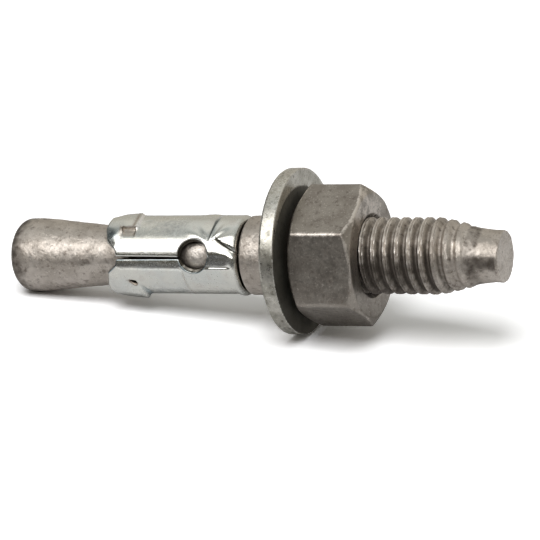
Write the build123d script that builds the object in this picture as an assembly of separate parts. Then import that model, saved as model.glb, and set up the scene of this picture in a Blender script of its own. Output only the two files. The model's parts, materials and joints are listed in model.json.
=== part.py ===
from build123d import *
import math
import os

# Wedge anchor of the M8 size, about 54 mm long: a forged and turned stud with an
# expander cone, a sleeve rolled from sheet round its neck, a flat washer and a hex nut.
#
# Every piece is drawn on the stud's own axis, which runs along +X from the tip of the
# expander (station 0) to the plain end. Angles round the axis are in degrees, from the
# top (+Z) towards the front (-Y). Last of all, the anchor is laid down as it rests on a
# table: the expander and the rim of the washer touch it, and the plain end is in the air.

# ---- driving dimensions, in millimetres ----

# stud: expander
STUD_LENGTH = 54.0
EXPANDER_RADIUS = 3.85
TIP_DOME_RADIUS = 9.0
TIP_CORNER_RADIUS = 1.5
EXPANDER_LAND = 0.3
BARREL_RADIUS = 26.0
CONE_HALF_ANGLE = 5.7

# stud: neck and collar
NECK_RADIUS = 2.85
COLLAR_START = 26.95
COLLAR_END = 30.9
COLLAR_RADIUS = 4.07
COLLAR_EDGE = 0.25
SHOULDER_FILLET = 0.3
CONE_TO_NECK_FILLET = 4.0

# stud: thread (M8 x 1.25, drawn as a blank at its outer diameter) and plain end
THREAD_RADIUS = 3.9
THREAD_TAPER_START = 46.9
THREAD_END = 49.9
THREAD_END_RADIUS = 3.2
PLAIN_END_START = 52.9
PLAIN_END_RADIUS = 2.6
PLAIN_END_CHAMFER = 0.15
TAPER_HOLLOW = 0.13

# expansion sleeve
SLEEVE_START = 11.6
SLEEVE_END = 26.65
SLEEVE_RADIUS = 4.03
SHEET = 0.75
SHEET_EDGE = 0.15
FRONT_SLIT_ANGLE = 76.5
SEGMENT_ANGLE = 120.0
SLIT_WIDTH = 0.34
SLIT_ROLLOVER = 0.2
KEYHOLE_STATION = 21.8
KEYHOLE_FROM_SLIT = 2.9
KEYHOLE_HALF_LENGTH = 1.6
KEYHOLE_HALF_ANGLE = 24.2
PUNCH_FOOT = 1.0

# rounded shoulders of the sleeve's segments, as (station, distance from the slit)
SHOULDER_ROOT = (13.15, 0.37)
SHOULDER_BREAK = (12.95, 0.95)
SHOULDER_FOOT = (12.05, 1.8)
SHOULDER_TIP = (11.6, 3.1)
SHOULDER_ROUNDINGS = (0.4, 0.8, 2.5)

# raised barb on each sleeve segment, with angles from the middle of the segment
BARB_START = 12.0
BARB_HEIGHT = 0.29
WINDOW_CORNER = 0.15
FRONT_BARB = {
    "apex": (15.4, 10.5),
    "crest_radius": 5.2,
    "sides": (-42.0, 12.0),
    "window": ((13.4, 11.0), (15.1, 11.0), (15.1, 27.0), (13.95, 27.0)),
}
LOWER_BARB = {
    "apex": (15.6, 1.5),
    "crest_radius": 2.6,
    "sides": (-14.0, 38.0),
    "window": ((13.65, -26.0), (15.2, -21.5), (15.1, -13.0), (14.2, -13.5)),
}
BARBS = (FRONT_BARB, LOWER_BARB, FRONT_BARB)

# crimp that keeps the sleeve from turning on the neck: a groove pressed in at its collar
# end, with a steep bank above its valley and a long bank below it
CRIMP_APEX = (23.9, 45.0)
CRIMP_ANGLE = 64.5
CRIMP_STEEP_BANK = 0.4
CRIMP_LONG_BANK = 0.9
CRIMP_DEPTH = 0.3

# washer
WASHER_START = 31.05
WASHER_THICKNESS = 1.6
WASHER_RADIUS = 8.45
WASHER_BORE_RADIUS = 4.4
WASHER_ROLLED_EDGE = 0.35
WASHER_SHEARED_EDGE = 0.15
WASHER_LIFT = 0.46

# nut
NUT_START = 33.25
NUT_HEIGHT = 6.72
NUT_ACROSS_FLATS = 12.82
NUT_CHAMFER_RADIUS = 6.25
NUT_CHAMFER_ANGLE = 30.0
NUT_CHAMFER_CROWN = 0.03
NUT_BORE_RADIUS = 3.94
NUT_MOUTH_RADIUS = 4.3
NUT_CORNER_ANGLE = -5.8


# how far a cutter reaches past the surface it cuts
CUT_MARGIN = 1.0


# ---- helpers ----


def around(angle):
    """The rotation that carries the top of a piece to an angle round the axis."""
    return Rot(angle, 0, 0)


def turned(profile_face):
    """The solid that a face above the axis, in the XZ plane, sweeps round it."""
    return revolve(profile_face, axis=Axis.X)


def over_sleeve(plan, angle):
    """A plan view of the top of the sleeve, carried straight down to the axis."""
    height = SLEEVE_RADIUS + CUT_MARGIN
    return around(angle) * extrude(Plane.XY.offset(height) * plan, amount=-height)


def punched(plan_at, angle):
    """A hole punched in flat sheet and then rolled with it: its walls point at the axis."""
    heights = (PUNCH_FOOT, SLEEVE_RADIUS + CUT_MARGIN)
    faces = [Plane.XY.offset(height) * plan_at(height).face() for height in heights]
    return around(angle) * loft(faces, ruled=True)


# ---- stud ----


def stud_profile():
    """Half the section of the stud, from the domed tip to the plain end."""
    dome_angle = math.degrees(
        math.asin((EXPANDER_RADIUS - TIP_CORNER_RADIUS) / (TIP_DOME_RADIUS - TIP_CORNER_RADIUS))
    )
    taper_middle = (
        (THREAD_END + PLAIN_END_START) / 2,
        (THREAD_END_RADIUS + PLAIN_END_RADIUS) / 2 - TAPER_HOLLOW,
    )
    with BuildSketch(Plane.XZ) as section:
        with BuildLine():
            dome = JernArc(start=(0, 0), tangent=(0, 1), radius=TIP_DOME_RADIUS, arc_size=-dome_angle)
            corner = JernArc(
                start=dome @ 1, tangent=dome % 1, radius=TIP_CORNER_RADIUS, arc_size=dome_angle - 90
            )
            land = Line(corner @ 1, (corner @ 1) + Vector(EXPANDER_LAND, 0))
            barrel = JernArc(
                start=land @ 1, tangent=(1, 0), radius=BARREL_RADIUS, arc_size=-CONE_HALF_ANGLE
            )
            cone_drop = (barrel @ 1).Y - NECK_RADIUS
            cone_run = cone_drop / math.tan(math.radians(CONE_HALF_ANGLE))
            cone_foot = (barrel @ 1) + Vector(cone_run, -cone_drop)
            Polyline(
                barrel @ 1,
                cone_foot,
                (COLLAR_START, NECK_RADIUS),
                (COLLAR_START, COLLAR_RADIUS - COLLAR_EDGE),
                (COLLAR_START + COLLAR_EDGE, COLLAR_RADIUS),
                (COLLAR_END, COLLAR_RADIUS),
                (COLLAR_END, THREAD_RADIUS),
                (THREAD_TAPER_START, THREAD_RADIUS),
                (THREAD_END, THREAD_END_RADIUS),
            )
            ThreePointArc(
                (THREAD_END, THREAD_END_RADIUS), taper_middle, (PLAIN_END_START, PLAIN_END_RADIUS)
            )
            Polyline(
                (PLAIN_END_START, PLAIN_END_RADIUS),
                (STUD_LENGTH - PLAIN_END_CHAMFER, PLAIN_END_RADIUS),
                (STUD_LENGTH, PLAIN_END_RADIUS - PLAIN_END_CHAMFER),
                (STUD_LENGTH, 0),
                (0, 0),
            )
        make_face()
        foot = section.vertices().sort_by_distance((cone_foot.X, cone_foot.Y, 0))[0]
        fillet(foot, radius=CONE_TO_NECK_FILLET)
        shoulder = section.vertices().sort_by_distance((COLLAR_START, NECK_RADIUS, 0))[0]
        fillet(shoulder, radius=SHOULDER_FILLET)
    return section.sketch


def stud():
    """The one-piece stud: expander, neck, collar, thread blank and plain end."""
    return turned(stud_profile())


# ---- expansion sleeve ----


def sleeve_blank():
    """The rolled sheet before its cuts, with softened edges at both ends."""
    with BuildSketch(Plane.XZ) as wall:
        with Locations(((SLEEVE_START + SLEEVE_END) / 2, SLEEVE_RADIUS - SHEET / 2)):
            Rectangle(SLEEVE_END - SLEEVE_START, SHEET)
        fillet(wall.vertices(), radius=SHEET_EDGE)
    return turned(wall.sketch)


def ramp(barb, base_radius, inset):
    """A ramp that climbs towards the thread, ended by a half-moon crest seen from above."""
    apex_station, apex_angle = barb["apex"]
    with BuildSketch(Plane.XZ) as wedge:
        Polygon(
            (BARB_START, base_radius - SHEET / 2),
            (BARB_START, base_radius),
            (apex_station, base_radius + BARB_HEIGHT),
            (apex_station, base_radius - SHEET / 2),
            align=None,
        )
    crest_radius = barb["crest_radius"] - inset
    crest = Pos(apex_station - barb["crest_radius"], 0) * Circle(crest_radius)
    low, high = (SLEEVE_RADIUS * math.radians(apex_angle - side) for side in barb["sides"])
    width = low - high - 2 * inset
    length = apex_station - BARB_START
    band = Pos(BARB_START + length / 2, (low + high) / 2) * Rectangle(length, width)
    return around(apex_angle) * (turned(wedge.sketch) & over_sleeve(crest & band, 0))


def window(barb):
    """The opening beside a barb, where the sheet is lanced through."""

    def plan_at(height):
        corners = [
            (station, -height * math.tan(math.radians(angle))) for station, angle in barb["window"]
        ]
        with BuildSketch() as plan:
            Polygon(*corners, align=None)
            fillet(plan.vertices(), radius=WINDOW_CORNER * height / (SLEEVE_RADIUS + CUT_MARGIN))
        return plan.sketch

    return punched(plan_at, 0)


def keyhole():
    """The round end of a slit, where the segments hinge when the anchor is set."""

    def plan_at(height):
        half_width = height * math.tan(math.radians(KEYHOLE_HALF_ANGLE))
        return Pos(KEYHOLE_STATION, 0) * Ellipse(KEYHOLE_HALF_LENGTH, half_width)

    return punched(plan_at, -KEYHOLE_FROM_SLIT)


def slit(end_station):
    """A slit from the expander end of the sleeve, its outer edges rolled over."""
    half = SLIT_WIDTH / 2
    outer = SLEEVE_RADIUS + CUT_MARGIN
    with BuildSketch(Plane.YZ.offset(SLEEVE_START - CUT_MARGIN)) as gap:
        Polygon(
            (-half, 0),
            (half, 0),
            (half, SLEEVE_RADIUS - SLIT_ROLLOVER),
            (half + SLIT_ROLLOVER, SLEEVE_RADIUS),
            (half + SLIT_ROLLOVER, outer),
            (-half - SLIT_ROLLOVER, outer),
            (-half - SLIT_ROLLOVER, SLEEVE_RADIUS),
            (-half, SLEEVE_RADIUS - SLIT_ROLLOVER),
            align=None,
        )
    return extrude(gap.sketch, amount=end_station - SLEEVE_START + CUT_MARGIN)


def end_notch():
    """The cut that gives two neighbouring segments their rounded shoulders at a slit."""
    corners = [SHOULDER_ROOT, SHOULDER_BREAK, SHOULDER_FOOT, SHOULDER_TIP]
    outside = (SLEEVE_START - CUT_MARGIN, SHOULDER_TIP[1] + CUT_MARGIN)
    one_side = [outside] + corners[::-1]
    other_side = [(station, -offset) for station, offset in one_side[::-1]]
    with BuildSketch() as plan:
        with BuildLine():
            Polyline(*one_side, *other_side, close=True)
        make_face()
        for corner, radius in zip(corners[1:], SHOULDER_ROUNDINGS):
            for side in (1, -1):
                place = (corner[0], side * corner[1], 0)
                fillet(plan.vertices().sort_by_distance(place)[0], radius=radius)
    return over_sleeve(plan.sketch, 0)


def crimp(surface_radius):
    """The wedge that a punch displaces, skewed across the collar end of the sleeve."""
    apex_station, apex_angle = CRIMP_APEX
    mouth_station = SLEEVE_END + CUT_MARGIN
    growth = (mouth_station - apex_station) / (SLEEVE_END - apex_station)
    skew = math.radians(CRIMP_ANGLE - apex_angle)
    mouth_turn = math.degrees(skew) * (growth - 1)
    steep = CRIMP_STEEP_BANK * growth
    long = -CRIMP_LONG_BANK * growth
    above = surface_radius + CUT_MARGIN
    with BuildSketch(Plane.YZ.offset(mouth_station)) as mouth:
        Polygon(
            (long, above),
            (long, math.sqrt(surface_radius**2 - long**2)),
            (0, surface_radius - CRIMP_DEPTH * growth),
            (steep, math.sqrt(surface_radius**2 - steep**2)),
            (steep, above),
            align=None,
        )
    apex = Vertex(
        apex_station,
        surface_radius * math.sin(skew * growth),
        surface_radius * math.cos(skew * growth),
    )
    return around(CRIMP_ANGLE + mouth_turn) * loft([mouth.sketch.face(), apex])


def expansion_sleeve():
    """The sheet sleeve: three segments with barbs, two keyhole slits and an open seam."""
    body = sleeve_blank()
    segments = []
    for index, barb in enumerate(BARBS):
        slit_angle = FRONT_SLIT_ANGLE + index * SEGMENT_ANGLE
        middle = slit_angle - SEGMENT_ANGLE / 2
        segments.append((slit_angle, middle, barb))
        body = body + around(middle) * ramp(barb, SLEEVE_RADIUS, 0)
    bore = Pos(SLEEVE_END - SHEET_EDGE, 0, 0) * Rot(0, -90, 0) * Cylinder(
        SLEEVE_RADIUS - SHEET + SHEET_EDGE, SLEEVE_END, align=(Align.CENTER, Align.CENTER, Align.MIN)
    )
    body = body + (crimp(SLEEVE_RADIUS - SHEET) & bore)
    body = body - crimp(SLEEVE_RADIUS)
    for slit_angle, middle, barb in segments:
        body = body - around(middle) * ramp(barb, SLEEVE_RADIUS - SHEET, SHEET / 2)
        body = body - around(middle) * window(barb)
        body = body - around(slit_angle) * end_notch()
        if barb is LOWER_BARB:
            body = body - around(slit_angle) * slit(SLEEVE_END + CUT_MARGIN)
        else:
            body = body - around(slit_angle) * slit(KEYHOLE_STATION)
            body = body - around(slit_angle) * keyhole()
    return body


# ---- washer and nut ----


def washer():
    """The flat washer, hanging on the stud by the bottom of its hole."""
    with BuildSketch(Plane.XZ) as section:
        with Locations(
            (WASHER_START + WASHER_THICKNESS / 2, (WASHER_RADIUS + WASHER_BORE_RADIUS) / 2)
        ):
            Rectangle(WASHER_THICKNESS, WASHER_RADIUS - WASHER_BORE_RADIUS)
        inner = section.vertices().group_by(Axis.Y)[0]
        fillet(inner, radius=WASHER_SHEARED_EDGE)
        outer = section.vertices().group_by(Axis.Y)[-1].sort_by(Axis.X)
        fillet(outer[1], radius=WASHER_SHEARED_EDGE)
        outer = section.vertices().sort_by_distance((WASHER_START, WASHER_RADIUS, 0))
        fillet(outer[0], radius=WASHER_ROLLED_EDGE)
    return Pos(0, 0, WASHER_LIFT) * turned(section.sketch)


def hex_nut():
    """The hex nut, chamfered on both faces, its mouths countersunk."""
    corner_radius = NUT_ACROSS_FLATS / math.sqrt(3)
    chamfer = (corner_radius - NUT_CHAMFER_RADIUS) * math.tan(math.radians(NUT_CHAMFER_ANGLE))
    mouth = NUT_MOUTH_RADIUS - NUT_BORE_RADIUS
    end = NUT_START + NUT_HEIGHT
    with BuildSketch(Plane.YZ.offset(NUT_START)) as outline:
        RegularPolygon(radius=corner_radius, side_count=6, rotation=90)
    crown_radius = (NUT_CHAMFER_RADIUS + corner_radius) / 2 + NUT_CHAMFER_CROWN
    inner_crown = (NUT_START + chamfer / 2 - NUT_CHAMFER_CROWN, crown_radius)
    outer_crown = (end - chamfer / 2 + NUT_CHAMFER_CROWN, crown_radius)
    with BuildSketch(Plane.XZ) as section:
        with BuildLine():
            Line((NUT_START, NUT_MOUTH_RADIUS), (NUT_START, NUT_CHAMFER_RADIUS))
            ThreePointArc((NUT_START, NUT_CHAMFER_RADIUS), inner_crown, (NUT_START + chamfer, corner_radius))
            Line((NUT_START + chamfer, corner_radius), (end - chamfer, corner_radius))
            ThreePointArc((end - chamfer, corner_radius), outer_crown, (end, NUT_CHAMFER_RADIUS))
            Polyline(
                (end, NUT_CHAMFER_RADIUS),
                (end, NUT_MOUTH_RADIUS),
                (end - mouth, NUT_BORE_RADIUS),
                (NUT_START + mouth, NUT_BORE_RADIUS),
                (NUT_START, NUT_MOUTH_RADIUS),
            )
        make_face()
    prism = extrude(outline.sketch, amount=NUT_HEIGHT)
    return around(NUT_CORNER_ANGLE) * (prism & turned(section.sketch))


# ---- resting place ----


def resting_tilt():
    """How far the axis leans, in degrees, when the tip's corner and the washer's rim touch."""
    dome_reach = TIP_DOME_RADIUS - TIP_CORNER_RADIUS
    tip_drop = EXPANDER_RADIUS - TIP_CORNER_RADIUS
    tip_station = TIP_DOME_RADIUS - math.sqrt(dome_reach**2 - tip_drop**2)
    rim_station = WASHER_START + WASHER_ROLLED_EDGE
    rim_drop = WASHER_RADIUS - WASHER_ROLLED_EDGE - WASHER_LIFT
    run = rim_station - tip_station
    fall = rim_drop - tip_drop
    lean = math.atan2(fall, run)
    easing = math.asin((TIP_CORNER_RADIUS - WASHER_ROLLED_EDGE) / math.hypot(run, fall))
    return math.degrees(lean - easing)


def main():
    pieces = {
        "stud": stud(),
        "expansion_sleeve": expansion_sleeve(),
        "washer": washer(),
        "hex_nut": hex_nut(),
    }
    leaned = {name: Rot(0, -resting_tilt(), 0) * piece for name, piece in pieces.items()}
    solids = [solid for piece in leaned.values() for solid in piece.solids()]
    box = Compound(solids).bounding_box()
    placing = Pos(-box.center().X, -box.center().Y, -box.min.Z)
    os.makedirs("parts", exist_ok=True)
    for name, piece in leaned.items():
        export_step(placing * piece, f"parts/{name}.step")
    print("tilt", round(resting_tilt(), 4), "tip at", placing.position)


main()
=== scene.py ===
import json
import math

import bpy
import numpy as np
from mathutils import Matrix, Vector, geometry, kdtree, noise


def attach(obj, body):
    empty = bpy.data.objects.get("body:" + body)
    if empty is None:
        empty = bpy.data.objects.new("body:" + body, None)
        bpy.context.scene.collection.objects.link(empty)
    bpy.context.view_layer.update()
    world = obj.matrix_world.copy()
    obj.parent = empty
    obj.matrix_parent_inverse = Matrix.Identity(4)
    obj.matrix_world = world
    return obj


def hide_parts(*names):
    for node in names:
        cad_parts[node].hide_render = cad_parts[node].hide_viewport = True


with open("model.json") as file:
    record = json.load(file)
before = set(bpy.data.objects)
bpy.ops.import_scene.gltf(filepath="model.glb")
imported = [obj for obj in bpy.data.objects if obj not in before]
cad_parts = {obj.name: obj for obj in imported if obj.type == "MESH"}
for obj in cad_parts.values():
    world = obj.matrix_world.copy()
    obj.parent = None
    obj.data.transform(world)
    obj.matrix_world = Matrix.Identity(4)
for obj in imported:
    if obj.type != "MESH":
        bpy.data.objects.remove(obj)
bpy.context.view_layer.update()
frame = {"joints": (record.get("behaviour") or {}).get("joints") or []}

MM = 0.001

# The anchor's own frame: x is the station along the axis from the expander's tip, in
# millimetres, and angles go round the axis from the top towards the front.

NUT_START = 33.25
NUT_HEIGHT = 6.72
SPIN = next(joint for joint in frame["joints"] if joint["name"] == "nut_spin")
AXIS = Vector(SPIN["axis"]).normalized()
BACK = Vector((0, 1, 0))
UP = AXIS.cross(BACK)
TIP = Vector(SPIN["pos_m"]) - AXIS * (NUT_START + NUT_HEIGHT / 2) * MM
ANCHOR = Matrix.Translation(TIP) @ Matrix((AXIS, BACK, UP)).transposed().to_4x4()


def polar(station, radius, angle):
    """Anchor coordinates in metres of points given in millimetres and radians."""
    x = np.broadcast_to(station, np.broadcast(station, radius, angle).shape)
    return np.stack([x, -radius * np.sin(angle), radius * np.cos(angle)], axis=-1) * MM


# ---- camera ----

CAMERA_AZIMUTH = math.radians(22.195)
CAMERA_ELEVATION = math.radians(21.028)
CAMERA_DISTANCE = 295.16 * MM
AIM_STATION = 28.7
AIM_DROP = 1.501 * MM
FOCAL_PIXELS = 2900
PICTURE_PIXELS = 540


def add_object(name, data, place):
    """A new object in the scene at a place given as a matrix."""
    added = bpy.data.objects.new(name, data)
    added.matrix_world = place
    bpy.context.scene.collection.objects.link(added)
    return added


def make_camera():
    """The camera looks down on the anchor from the front, past its threaded end."""
    sin_a, cos_a = math.sin(CAMERA_AZIMUTH), math.cos(CAMERA_AZIMUTH)
    sin_e, cos_e = math.sin(CAMERA_ELEVATION), math.cos(CAMERA_ELEVATION)
    right = Vector((cos_a, sin_a, 0))
    towards = Vector((sin_a * cos_e, -cos_a * cos_e, sin_e))
    up = towards.cross(right)
    data = bpy.data.cameras.new("camera")
    data.lens = FOCAL_PIXELS / PICTURE_PIXELS * data.sensor_width
    data.clip_start = 0.01
    data.clip_end = 10.0
    place = ANCHOR @ Vector((AIM_STATION * MM, 0, 0)) - up * AIM_DROP + towards * CAMERA_DISTANCE
    turned = Matrix((right, up, towards)).transposed().to_4x4()
    bpy.context.scene.camera = add_object("camera", data, Matrix.Translation(place) @ turned)


make_camera()

# ---- mesh helpers ----


def new_piece(name, vertices, faces, body, nodes, material, marks, crease=40):
    """A mesh piece in the anchor's frame that rides on a body and stands for CAD nodes.

    Its marks, rubbing and soiling with painted light and shade among them, are amounts at its first
    vertices that its material reads.
    """
    mesh = bpy.data.meshes.new(name)
    mesh.from_pydata(np.asarray(vertices).tolist(), [], faces)
    for title, values in marks.items():
        values = np.concatenate([values.ravel(), np.zeros(len(vertices) - values.size)])
        layer = mesh.attributes.new(title, "FLOAT", "POINT").data
        layer.foreach_set("value", values.astype(np.float32))
    mesh.shade_smooth()
    mesh.set_sharp_from_angle(angle=math.radians(crease))
    mesh.materials.append(material)
    piece = add_object(name, mesh, ANCHOR)
    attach(piece, body)
    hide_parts(*nodes)


def ring_faces(rings, columns, closed_rows):
    """Quads between rings of equal column counts, numbered row by row."""
    faces = []
    for i in range(rings if closed_rows else rings - 1):
        a = i * columns
        b = (i + 1) % rings * columns
        for j in range(columns):
            k = (j + 1) % columns
            faces.append((a + j, a + k, b + k, b + j))
    return faces


def capped_tube(points):
    """Vertices and faces of a tube of rings whose two ends close on their middle points."""
    rings, columns = points.shape[:2]
    faces = ring_faces(rings, columns, closed_rows=False)
    first = rings * columns
    last = (rings - 1) * columns
    for j in range(columns):
        k = (j + 1) % columns
        faces += [(k, j, first), (last + j, last + k, first + 1)]
    ends = np.array([points[0].mean(0), points[-1].mean(0)])
    return np.vstack([points.reshape(-1, 3), ends]), faces


def soft_min(a, b, width):
    """The lesser of two values, blended over a width so that the edge comes out round."""
    h = np.clip(0.5 + 0.5 * (b - a) / width, 0, 1)
    return b + (a - b) * h - width * h * (1 - h)


def soft_max(a, b, width):
    """The greater of two values, blended in the same way."""
    return -soft_min(-a, -b, width)


def smooth_step(x):
    """0 below 0 and 1 above 1, eased between."""
    x = np.clip(x, 0, 1)
    return x * x * (3 - 2 * x)


def rising(value, start, run):
    """0 up to a start and 1 from a run past it, eased between."""
    return smooth_step((value - start) / run)


def falling(value, end, run):
    """1 until a run before an end and 0 past it, eased between."""
    return smooth_step((end - value) / run)


def bell(offset, width):
    """1 where the offset is 0, falling away on both sides."""
    return np.exp(-((offset / width) ** 2))


def lookup(value, table):
    """What a table of (value, result) rows gives, in straight lines between its rows."""
    return np.interp(value, *zip(*table))


def lumps(points, size, octaves=2, seed=0):
    """Smooth noise between about -1 and 1 at points in metres, with lumps of a size in mm."""
    offset = Vector((seed * 17.3, seed * 5.1, seed * 9.7))
    scale = 1 / (size * MM)
    flat = points.reshape(-1, 3)
    values = [noise.fractal(Vector(p) * scale + offset, 0.6, 2.0, octaves) for p in flat.tolist()]
    return np.array(values).reshape(points.shape[:-1])


# ---- stud ----

STUD_COLUMNS = 120
THREAD_PITCH = 1.25
THREAD_STEP = THREAD_PITCH / 20
THREAD_CREST = 3.9
THREAD_DEPTH = 0.66
THREAD_ROUNDING = 0.16
THREAD_SEAM = 0.2
THREAD_PHASE = 42.3 + THREAD_PITCH * 19.9 / 360
# in turns from a crest: where its flank meets the root, the flank's run, the seam's half width
FLANK_FOOT, FLANK_RUN, SEAM_HALF = 0.41, 0.27, 0.08
# the radius that the crests reach, by station: level, then falling away over the last turns
CREST_RADII = (
    (30.9, 3.55), (31.6, 3.62), (32.4, THREAD_CREST), (46.9, THREAD_CREST), (47.5, 3.84),
    (48.7, 3.62), (49.6, 3.36), (50.3, 3.18), (50.8, 2.98), (50.9, 0.0),
)
# the radius at the foot of the thread, and of the taper and the plain end that follow it
ROOT_RADII = (
    (30.9, 3.5), (31.6, 3.5), (32.6, 3.24), (48.2, 3.24), (49.2, 3.13), (49.9, 3.05),
    (50.8, 2.93), (51.35, 2.82), (51.9, 2.72), (52.9, 2.6), (54.0, 2.6),
)
THREAD_START = 30.92
PLAIN_END_START = 51.0
PLAIN_END_STOP = 53.7
END_FACE = 53.95
# how uneven the skin is, by station: forged on the head and the plain end, rolled between
STUD_SKIN = (
    (0, 0.02), (2, 0.035), (12, 0.03), (14, 0.01), (30, 0.01), (31, 0.02),
    (49, 0.02), (50.5, 0.045), (53, 0.045), (53.7, 0.1), (54, 0.02),
)
# how much the thread's outer turns are darkened, by station: most next to the nut
THREAD_DARKENING = ((40, 0.95), (43.5, 0.78), (47.5, 0.52), (50, 0.36))
# the neck's painted lit spot, seen through the front keyhole: its place, the neck's radius there, and
# its reach along and round it
SPOT_STATION, SPOT_DEGREES, SPOT_RADIUS = 21.75, 65.0, 2.87
SPOT_LENGTH, SPOT_WIDTH = 1.1, 0.95


def thread_height(station, angle):
    """How far the thread stands above its root, right-handed, as a share of its depth."""
    turns = (station - THREAD_PHASE) / THREAD_PITCH - angle / (2 * math.pi)
    from_crest = np.abs(turns - np.round(turns))
    flank = (FLANK_FOOT - from_crest) / FLANK_RUN
    height = soft_min(flank, 1, THREAD_ROUNDING) - THREAD_SEAM * bell(from_crest, SEAM_HALF)
    return soft_max(height, 0, THREAD_ROUNDING)


def arc_points(centre, radius, start, end, count):
    """Points on an arc in the half section, angles in degrees from the way to the tip."""
    angles = np.radians(np.linspace(start, end, count))
    return [(centre[0] - radius * math.cos(a), centre[1] + radius * math.sin(a)) for a in angles]


def stud_outline():
    """Half the section of the stud up to its thread, as (station, radius) points."""
    dome, corner, head = 10.5, 1.4, 3.85
    barrel_arc, cone_angle = 26.0, 5.7
    neck, collar = 2.85, 4.07
    meet = math.degrees(math.asin((head - corner) / (dome - corner)))
    corner_station = dome - math.sqrt((dome - corner) ** 2 - (head - corner) ** 2)
    points = arc_points((dome, 0), dome, 1.0, meet, 14)
    points += arc_points((corner_station, head - corner), corner, meet, 90, 16)[1:]
    barrel = corner_station + 0.3
    points += arc_points((barrel, head - barrel_arc), barrel_arc, 90, 90 + cone_angle, 14)
    cone_station, cone_radius = points[-1]
    slope = math.tan(math.radians(cone_angle))
    for station in np.arange(cone_station + 0.25, 26.6, 0.25):
        cone = cone_radius - (station - cone_station) * slope
        points.append((station, float(soft_max(cone, neck, 0.25))))
    # the fillet up to the collar's face, then the collar with its two edges
    points += [(26.68, 2.86), (26.82, 2.92), (26.91, 3.03), (26.95, 3.2), (26.95, 3.6)]
    points += arc_points((27.15, collar - 0.2), 0.2, 0, 90, 7)
    points += [(station, collar) for station in np.arange(27.5, 30.7, 0.4)]
    points += arc_points((30.75, collar - 0.12), 0.12, 90, 180, 5)
    return points


def stud_rings(angle):
    """The stud's rings: stations, radii, shares of a full crest, and root soiling with painted shade.
    """
    columns = len(angle)
    rings = [(s, r, 0.0, 0.0) for s, r in stud_outline()]
    thread = np.arange(THREAD_START, PLAIN_END_START, THREAD_STEP)
    plain = np.arange(PLAIN_END_START + 0.05, PLAIN_END_STOP, 0.15)
    for s in np.concatenate([thread, plain]):
        root = lookup(s, ROOT_RADII)
        crest = max(lookup(s, CREST_RADII), root)
        height = thread_height(s, angle)
        share = (crest - root) / THREAD_DEPTH
        # the roots beside the crests are darkened, grime with painted shade, less on top
        root_grime_and_shade = np.minimum(1.6 * (1 - height), 1) * (1 - 0.45 * rising(np.cos(angle), 0.1, 0.9))
        rings.append((s, root + (crest - root) * height, share * height, share * root_grime_and_shade))
    rings += [(s, r, 0.5, 0.0) for s, r in arc_points((53.79, 2.42), 0.18, 90, 160, 6)]
    rings += [(END_FACE, r, 0.0, 0.0) for r in np.linspace(2.3, 0.12, 16)]
    return [np.array([np.broadcast_to(ring[i], columns) for ring in rings]) for i in range(4)]


def stud_marks(stations, angles, crests, root_grime_and_shade, places):
    """How worn and how grimy the stud is at each of its points."""
    up = np.cos(angles)
    # the neck under the sleeve is painted dark, a painted shade, but for the painted lit spot, which
    # reaches further down
    aside = (np.degrees(angles) - SPOT_DEGREES) * math.radians(SPOT_RADIUS)
    aside = np.where(aside > 0, 0.6 * aside, aside)
    spot = np.exp(-((stations - SPOT_STATION) / SPOT_LENGTH) ** 4 - (aside / SPOT_WIDTH) ** 4)
    hidden = rising(stations, 13.7, 0.6) * falling(stations, 26.9, 0.3)
    grime_and_shade = np.maximum(root_grime_and_shade, hidden * (1 - spot) * (1 - 0.5 * rising(stations, 23.6, 0.5)))
    # the crests are worn and given a painted highlight that is brightest on top; the lit spot gets a
    # painted highlight too, and the end face is worn
    wear_and_highlight = rising(crests, 0.8, 0.2) * (0.52 + 0.45 * rising(up, -0.1, 0.6))
    wear_and_highlight = np.maximum(wear_and_highlight * (1 + 0.4 * lumps(places, 1.2, seed=6)), 0.72 * spot * hidden)
    wear_and_highlight = np.maximum(wear_and_highlight, 0.62 * (stations > END_FACE - 0.05))
    # darkening: the taper, painted shade on the plain end's underside, the tip, a painted dark
    # reflection in a band along the head's front, and the outer turns, most next to the nut
    taper = rising(stations, 50.2, 0.6) * falling(stations, 52.4, 0.8)
    # painted shade on the plain end's underside
    under = rising(stations, 49.4, 1.6) * falling(up, 0.56, 0.4)
    under = under * rising(up, -0.62, 0.6) * (stations < 53.6) * 0.8
    tip = falling(stations, 4.2, 3.4) * 0.74
    # a painted dark reflection in a band along the front of the head
    dark_reflection_band = bell(up - 0.08, 0.17) * rising(stations, 0.6, 2) * (stations < 12)
    tip = np.maximum(tip, dark_reflection_band * (0.42 + 0.35 * lumps(places, 1.6, seed=9)))
    thread_darkening = lookup(stations, THREAD_DARKENING) * (stations > THREAD_DARKENING[0][0]) * (stations < 50.9)
    # painted shade on the lower side of the outer turns
    thread_darkening = thread_darkening * (0.42 + 0.58 * falling(up, 0.5, 0.5))
    stains_and_shade = np.maximum.reduce([taper * 0.6, under, tip, thread_darkening])
    stains_and_shade = stains_and_shade * (1 + 0.25 * lumps(places, 0.8, seed=5))
    return {"wear_and_highlight": wear_and_highlight, "grime_and_shade": np.maximum(grime_and_shade, stains_and_shade)}


def make_stud(material):
    angle = np.arange(STUD_COLUMNS) * 2 * math.pi / STUD_COLUMNS
    stations, radii, crests, root_grime_and_shade = stud_rings(angle)
    angles = np.broadcast_to(angle, radii.shape)
    places = polar(stations, radii, angles)
    marks = stud_marks(stations, angles, crests, root_grime_and_shade, places)
    radii = radii + lookup(stations, STUD_SKIN) * lumps(places, 1.5, 3, seed=1) - 0.02
    face = np.where(stations > END_FACE - 0.05, 0.04 * lumps(places, 0.9, 3, seed=2), 0)
    vertices, faces = capped_tube(polar(stations + face, radii, angles))
    new_piece("stud_forging", vertices, faces, "stud", ["stud"], material, marks)


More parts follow.
